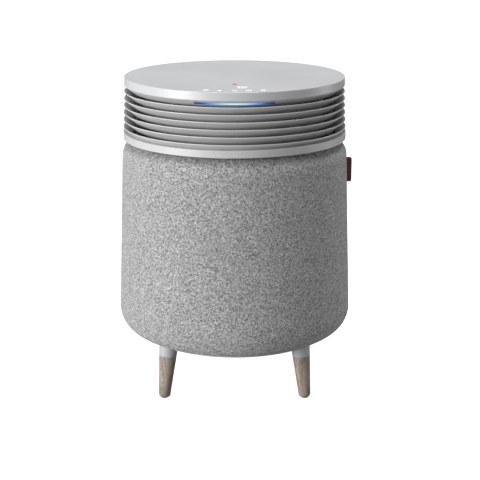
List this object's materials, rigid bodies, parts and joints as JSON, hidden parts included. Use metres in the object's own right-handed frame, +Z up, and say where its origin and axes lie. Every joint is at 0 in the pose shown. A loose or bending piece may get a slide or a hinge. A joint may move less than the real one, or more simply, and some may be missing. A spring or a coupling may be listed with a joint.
{
  "type": "air purifier",
  "caption": "Round side-table air purifier: flat top over a ring of louvres, fabric-wrapped barrel with pull-off rear door, cylindrical filter and radial blower inside, splayed wooden legs.",
  "frame": {"origin": "on the floor, under the centre of the round top", "axes": "+Z up, front (light bar) faces -Y, pull tab on the +X side"},
  "size_m": [0.3769, 0.3756, 0.5],
  "materials": {
    "cap_plastic": "fine matte moulded, pale cool grey",
    "louvre_plastic": "satin moulded, pale grey",
    "inner_plastic": "plain moulded, mid grey",
    "base_plastic": "matte moulded, pale blue grey",
    "light_lens": "translucent diffuser, lit blue",
    "guide_plastic": "white reflector moulding",
    "circuit_board": "solder mask",
    "fan_plastic": "glass-filled, dark grey",
    "steel": "ground",
    "motor_can": "pressed steel, painted",
    "windings": "enamelled copper",
    "magnet_metal": "plated",
    "barrel_fabric": "heathered woven upholstery, mid grey",
    "tab_leather": "dark brown, stitched edge",
    "filter_paper": "pleated non-woven",
    "carbon": "granular carbon in mesh",
    "filter_frame": "white moulded",
    "seal_foam": "closed-cell foam",
    "pad_rubber": "firm glide pad",
    "leg_wood": "weathered grey-brown oak, oiled",
    "black_plastic": "plain black"
  },
  "bodies": {
    "cabinet": {"base_lid": "inner_plastic", "base_pan": "base_plastic", "base_screws": "steel", "blower_deck": "inner_plastic", "blower_housing": "inner_plastic", "chassis_columns": "inner_plastic", "control_board": "circuit_board", "display_guide": "guide_plastic", "dust_sensor": "black_plastic", "fan_guard": "fan_plastic", "foot_pads": "pad_rubber", "frame_magnets": "magnet_metal", "front_fabric": "barrel_fabric", "front_shell": "inner_plastic", "housing_screws": "steel", "inlet_ring": "inner_plastic", "leg_front_left": "leg_wood", "leg_front_right": "leg_wood", "leg_rear_left": "leg_wood", "leg_rear_right": "leg_wood", "leg_socket_front_left": "base_plastic", "leg_socket_front_right": "base_plastic", "leg_socket_rear_left": "base_plastic", "leg_socket_rear_right": "base_plastic", "leg_studs": "steel", "light_bar": "light_lens", "light_board": "circuit_board", "louvre_base": "louvre_plastic", "louvre_blade_1": "louvre_plastic", "louvre_blade_2": "louvre_plastic", "louvre_blade_3": "louvre_plastic", "louvre_blade_4": "louvre_plastic", "louvre_blade_5": "louvre_plastic", "louvre_posts": "inner_plastic", "motor_bearings": "steel", "motor_cap": "motor_can", "motor_housing": "motor_can", "motor_mount": "inner_plastic", "motor_stator": "windings", "outlet_deflector": "inner_plastic", "power_board": "circuit_board", "power_inlet": "black_plastic", "top_cover": "cap_plastic", "upper_housing": "louvre_plastic", "wiring_harness": "black_plastic"},
    "rotor": {"fan_impeller": "fan_plastic", "motor_shaft": "steel", "hub_nut": "steel", "motor_magnet": "magnet_metal"},
    "door": {"rear_shell": "inner_plastic", "rear_fabric": "barrel_fabric", "pull_tab": "tab_leather", "door_magnets": "magnet_metal"},
    "filter": {"hepa_media": "filter_paper", "carbon_sleeve": "carbon", "filter_mesh": "filter_frame", "filter_top_cap": "filter_frame", "filter_bottom_cap": "filter_frame", "filter_seal": "seal_foam", "filter_pull": "filter_frame"}
  },
  "joints": [
    {"name": "fan_spin", "type": "hinge", "parent": "cabinet", "child": "rotor", "pos_m": [0, 0, 0.37], "axis": [0, 0, 1], "continuous": true},
    {"name": "door_slide", "type": "slide", "parent": "cabinet", "child": "door", "axis": [0, 1, 0], "range_m": [0, 0.5]},
    {"name": "filter_slide", "type": "slide", "parent": "cabinet", "child": "filter", "axis": [0, 1, 0], "range_m": [0, 0.3]}
  ],
  "couplings": [
    {"joint": "filter_slide", "follows": "door_slide", "ratio": 0.6}
  ]
}
